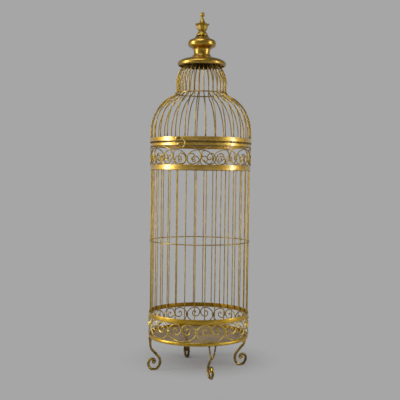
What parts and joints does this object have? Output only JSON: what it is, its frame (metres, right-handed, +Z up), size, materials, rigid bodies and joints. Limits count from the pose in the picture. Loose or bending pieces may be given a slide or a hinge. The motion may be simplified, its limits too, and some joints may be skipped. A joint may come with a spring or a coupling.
{
  "type": "standing birdcage",
  "caption": "Tall round wire birdcage on scroll feet, with scroll friezes, a mesh floor, and a hinged domed lid with a turned finial and a swinging hook.",
  "frame": {"origin": "on the ground, under the middle of the cage", "axes": "+Z up, -Y towards the latch, +Y towards the lid's hinge"},
  "size_m": [0.3066, 0.3196, 1.0772],
  "materials": {
    "gilt_wire": "antique gold, satin, browned in the corners",
    "gilt_strap": "antique gold, satin, softly mottled",
    "gilt_foot": "antique gold, satin, darker below",
    "gilt_finial": "antique gold, polished",
    "gilt_hardware": "antique gold, satin",
    "floor_mesh": "dull brown-grey welded mesh"
  },
  "bodies": {
    "cage": {"base_hoop": "gilt_strap", "mesh_floor": "floor_mesh", "foot_1": "gilt_foot", "foot_2": "gilt_foot", "foot_3": "gilt_foot", "foot_4": "gilt_foot", "lower_frieze": "gilt_wire", "lower_strap": "gilt_strap", "bar_01": "gilt_wire", "bar_02": "gilt_wire", "bar_03": "gilt_wire", "bar_04": "gilt_wire", "bar_05": "gilt_wire", "bar_06": "gilt_wire", "bar_07": "gilt_wire", "bar_08": "gilt_wire", "bar_09": "gilt_wire", "bar_10": "gilt_wire", "bar_11": "gilt_wire", "bar_12": "gilt_wire", "bar_13": "gilt_wire", "bar_14": "gilt_wire", "bar_15": "gilt_wire", "bar_16": "gilt_wire", "bar_17": "gilt_wire", "bar_18": "gilt_wire", "bar_19": "gilt_wire", "bar_20": "gilt_wire", "bar_21": "gilt_wire", "bar_22": "gilt_wire", "bar_23": "gilt_wire", "bar_24": "gilt_wire", "bar_25": "gilt_wire", "bar_26": "gilt_wire", "bar_27": "gilt_wire", "bar_28": "gilt_wire", "bar_29": "gilt_wire", "bar_30": "gilt_wire", "bar_31": "gilt_wire", "bar_32": "gilt_wire", "mid_ring": "gilt_wire", "upper_strap": "gilt_strap", "upper_frieze": "gilt_wire", "rim_strap": "gilt_strap", "latch_keeper": "gilt_hardware", "hinge_lower_leaf": "gilt_hardware", "hinge_pin": "gilt_hardware"},
    "lid": {"lid_strap": "gilt_strap", "dome_ribs": "gilt_wire", "rib_cap": "gilt_strap", "finial_skirt": "gilt_finial", "finial_knob": "gilt_finial", "finial_crown": "gilt_finial", "finial_ball": "gilt_finial", "tie_rod": "gilt_hardware", "tie_nut": "gilt_hardware", "hinge_upper_leaf": "gilt_hardware", "latch_pivot": "gilt_hardware"},
    "hook": {"latch_hook": "gilt_hardware"}
  },
  "joints": [
    {"name": "lid_hinge", "type": "hinge", "parent": "cage", "child": "lid", "pos_m": [0, 0.1568, 0.6835], "axis": [-1, 0, 0], "range_deg": [0, 100]},
    {"name": "hook_swing", "type": "hinge", "parent": "lid", "child": "hook", "pos_m": [-0.0121, -0.1565, 0.6925], "axis": [0, -1, 0], "range_deg": [-42, 115]}
  ]
}
